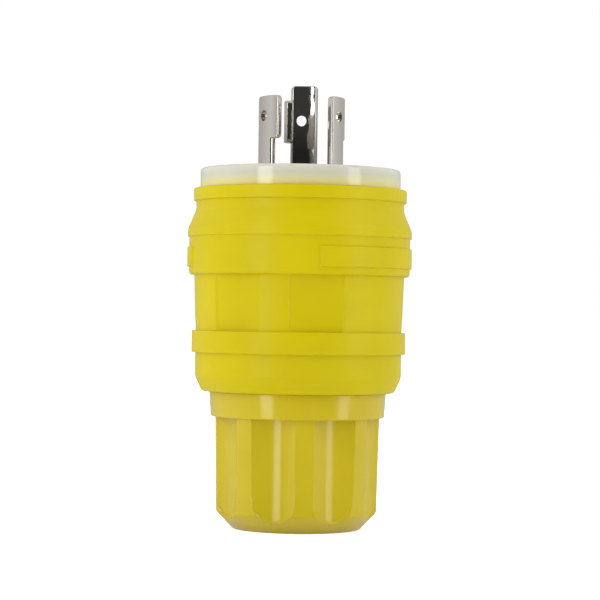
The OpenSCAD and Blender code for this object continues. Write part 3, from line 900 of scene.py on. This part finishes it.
class PLUG_OT_blades(bpy.types.Operator):
    """Finish the nickel-plated blades"""

    bl_idname = "plug.blades"
    bl_label = "Blades"

    def execute(self, context):
        finish = finish_of()
        plated = metal("blade_nickel", finish.nickel_colour, finish.blade_roughness, bump=0.3)[0]
        painted_shade_nickel, tree, shader = metal(
            "ground_nickel_painted_shade", finish.nickel_colour, finish.ground_roughness, waves=24.0, bump=0.3
        )
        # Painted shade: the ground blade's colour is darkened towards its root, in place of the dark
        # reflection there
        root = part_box("face_insulator")[1].z
        paint_light_by_height(tree, shader, root, root + PAINTED_SHADE_HEIGHT * MM, GROUND_PAINTED_SHADE)
        line_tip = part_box("line_blade")[1].z
        for node in BLADE_TURNS:
            material = painted_shade_nickel if node == "ground_blade" else plated
            finish_piece(node + "_metal", build_blade(node, line_tip), node, material)
        return {"FINISHED"}


class PLUG_OT_inner_pieces(bpy.types.Operator):
    """Finish the pieces inside the boot and the nut"""

    bl_idname = "plug.inner_pieces"
    bl_label = "Inner pieces"

    def execute(self, context):
        finish = finish_of()
        plain = {
            "rear_housing": moulded("housing_nylon", finish.housing_colour, 0.45)[0],
            "terminal_block": moulded("block_phenolic", finish.block_colour, 0.4)[0],
            "slip_ring": moulded("slip_acetal", finish.slip_colour, 0.35)[0],
            "clamp_collet": moulded("collet_nylon", finish.collet_colour, 0.45)[0],
        }
        seal = moulded("seal_rubber", finish.seal_colour, 0.6)[0]
        for node in ("face_seal_ring", "neck_seal_ring", "cord_grommet"):
            plain[node] = seal
        brass = metal("terminal_brass", finish.brass_colour, 0.3)[0]
        for node in ("line_clamp_plate", "neutral_clamp_plate", "ground_clamp_plate"):
            plain[node] = brass
        plain["screw_inserts"] = brass
        plain["line_terminal_screw"] = brass
        zinc = metal("screw_zinc", finish.zinc_colour, 0.3)[0]
        plain["neutral_terminal_screw"] = zinc
        plain["face_screws"] = zinc
        plain["ground_terminal_screw"] = metal("screw_green", finish.green_colour, 0.4)[0]
        for node, material in plain.items():
            dress(node, material)
        finish_piece("neck_thread", build_thread(), "rear_housing", plain["rear_housing"], replace=False)
        return {"FINISHED"}


# ---- Operator: stage ----


class PLUG_OT_stage(bpy.types.Operator):
    """Make the floor, the sky, the soft boxes and the camera"""

    bl_idname = "plug.stage"
    bl_label = "Stage"

    def execute(self, context):
        settings = context.scene.plug_stage
        make_floor()
        make_sky(settings.sky_strength, settings.mirror_strength)
        powers = {"left_soft_box": settings.left_power, "right_soft_box": settings.right_power}
        for name, power in powers.items():
            make_lamp(name, power, settings.lamp_distance)
        make_camera(settings)
        return {"FINISHED"}


# Half the side of the floor in metres, its white, and the glow that makes it white to the camera
FLOOR = {"half_side": 20, "white": 0.9, "glow": 0.6}


def make_floor():
    """A white floor that shows white to the camera, keeps a soft shadow and is clear from below."""
    mesh = bpy.data.meshes.new("floor")
    shape = bmesh.new()
    bmesh.ops.create_grid(shape, x_segments=1, y_segments=1, size=FLOOR["half_side"])
    shape.to_mesh(mesh)
    shape.free()
    floor = bpy.data.objects.new("floor", mesh)
    bpy.context.scene.collection.objects.link(floor)
    material, tree, shader = new_material("floor_white")
    nodes, links = tree.nodes, tree.links
    shader.inputs["Base Color"].default_value = (*[FLOOR["white"]] * 3, 1)
    shader.inputs["Roughness"].default_value = 1.0
    shader.inputs["Specular IOR Level"].default_value = 0.0
    ray = nodes.new("ShaderNodeLightPath")
    glow = nodes.new("ShaderNodeEmission")
    both = nodes.new("ShaderNodeAddShader")
    seen = nodes.new("ShaderNodeMath")
    seen.operation = "MULTIPLY"
    seen.inputs[1].default_value = FLOOR["glow"]
    links.new(ray.outputs["Is Camera Ray"], seen.inputs[0])
    links.new(seen.outputs[0], glow.inputs["Strength"])
    links.new(shader.outputs[0], both.inputs[0])
    links.new(glow.outputs[0], both.inputs[1])
    side, clear = nodes.new("ShaderNodeNewGeometry"), nodes.new("ShaderNodeBsdfTransparent")
    pick = nodes.new("ShaderNodeMixShader")
    links.new(side.outputs["Backfacing"], pick.inputs[0])
    links.new(both.outputs[0], pick.inputs[1])
    links.new(clear.outputs[0], pick.inputs[2])
    links.new(pick.outputs[0], nodes["Material Output"].inputs["Surface"])
    mesh.materials.append(material)
    floor.visible_glossy = False


# Brightness of the studio by direction, from the dark side in front of the plug (0)
# to the wall behind it (1)
STUDIO_LIGHT = ((0.0, 0.06), (0.13, 0.06), (0.30, 0.67), (0.50, 0.90), (0.65, 0.82), (1.0, 0.52))


def make_sky(strength, mirrored):
    """A studio that is white to the camera, bright round the sides and dark in front."""
    world = bpy.data.worlds.new("sky")
    bpy.context.scene.world = world
    world.use_nodes = True
    nodes, links = world.node_tree.nodes, world.node_tree.links
    light = nodes["Background"]
    level = nodes.new("ShaderNodeMapRange")
    level.inputs["To Min"].default_value = strength
    level.inputs["To Max"].default_value = mirrored
    white = nodes.new("ShaderNodeBackground")
    white.inputs["Color"].default_value = (1, 1, 1, 1)
    white.inputs["Strength"].default_value = 1.0
    coords = nodes.new("ShaderNodeTexCoord")
    parts = nodes.new("ShaderNodeSeparateXYZ")
    depth = nodes.new("ShaderNodeMapRange")
    depth.inputs["From Min"].default_value = -1.0
    ramp_node = nodes.new("ShaderNodeValToRGB")
    fill_ramp(ramp_node.color_ramp, [(place, (grey, grey, grey)) for place, grey in STUDIO_LIGHT])
    links.new(coords.outputs["Generated"], parts.inputs[0])
    links.new(parts.outputs["Y"], depth.inputs["Value"])
    links.new(depth.outputs["Result"], ramp_node.inputs["Fac"])
    links.new(ramp_node.outputs["Color"], light.inputs["Color"])
    ray = nodes.new("ShaderNodeLightPath")
    links.new(ray.outputs["Is Glossy Ray"], level.inputs["Value"])
    links.new(level.outputs["Result"], light.inputs["Strength"])
    through = nodes.new("ShaderNodeMath")
    through.operation = "MAXIMUM"
    pick = nodes.new("ShaderNodeMixShader")
    links.new(ray.outputs["Is Camera Ray"], through.inputs[0])
    links.new(ray.outputs["Is Transmission Ray"], through.inputs[1])
    links.new(through.outputs[0], pick.inputs[0])
    links.new(light.outputs[0], pick.inputs[1])
    links.new(white.outputs[0], pick.inputs[2])
    links.new(pick.outputs[0], nodes["World Output"].inputs["Surface"])


# Directions of the soft boxes from the front in degrees, counted towards +X, and their
# width, height and middle's height in metres
LAMP_TURNS = {"left_soft_box": -39, "right_soft_box": 61}
SOFT_BOX = {"width": 0.090, "height": 0.5, "middle": 0.1}


def make_lamp(name, power, distance):
    """A tall soft box that faces the plug's axis and that the camera doesn't see."""
    light = bpy.data.lights.new(name, "AREA")
    light.shape = "RECTANGLE"
    light.size = SOFT_BOX["width"]
    light.size_y = SOFT_BOX["height"]
    light.energy = power
    lamp = bpy.data.objects.new(name, light)
    bpy.context.scene.collection.objects.link(lamp)
    angle = math.radians(LAMP_TURNS[name])
    place = Vector((math.sin(angle), -math.cos(angle), 0)) * distance
    place.z = SOFT_BOX["middle"]
    lamp.location = place
    lamp.rotation_euler = Vector((-place.x, -place.y, 0)).to_track_quat("-Z", "Y").to_euler()
    lamp.visible_camera = False


def make_camera(settings):
    """The camera at the front, level with the middle of the plug."""
    data = bpy.data.cameras.new("camera")
    data.sensor_width = 36.0
    data.lens = settings.camera_lens
    camera = bpy.data.objects.new("camera", data)
    bpy.context.scene.collection.objects.link(camera)
    place = (settings.camera_offset, -settings.camera_distance, settings.camera_height)
    camera.matrix_world = (
        Matrix.Translation(place)
        @ Matrix.Rotation(math.radians(90) + settings.camera_pitch, 4, "X")
        @ Matrix.Rotation(settings.camera_roll, 4, "Z")
    )
    bpy.context.scene.camera = camera


# ---- Panel and registration ----


class PLUG_PT_panel(bpy.types.Panel):
    """Lists the operators that dress the plug"""

    bl_idname = "PLUG_PT_panel"
    bl_label = "Locking plug"
    bl_space_type = "VIEW_3D"
    bl_region_type = "UI"
    bl_category = "Plug"

    def draw(self, context):
        for operator in OPERATORS:
            self.layout.operator(operator.bl_idname)


OPERATORS = (
    PLUG_OT_stage,
    PLUG_OT_boot,
    PLUG_OT_nut,
    PLUG_OT_face,
    PLUG_OT_blades,
    PLUG_OT_inner_pieces,
)
CLASSES = (PlugFinishSettings, PlugStageSettings, *OPERATORS, PLUG_PT_panel)


def register():
    """Registers the classes and the scene's settings."""
    for cls in CLASSES:
        bpy.utils.register_class(cls)
    bpy.types.Scene.plug_finish = PointerProperty(type=PlugFinishSettings)
    bpy.types.Scene.plug_stage = PointerProperty(type=PlugStageSettings)


def unregister():
    """Takes out what register() added."""
    del bpy.types.Scene.plug_stage
    del bpy.types.Scene.plug_finish
    for cls in reversed(CLASSES):
        bpy.utils.unregister_class(cls)


def main():
    """Registers the classes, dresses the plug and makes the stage."""
    register()
    bpy.ops.plug.stage()
    bpy.ops.plug.boot()
    bpy.ops.plug.nut()
    bpy.ops.plug.face()
    bpy.ops.plug.blades()
    bpy.ops.plug.inner_pieces()


if __name__ == "__main__":
    main()
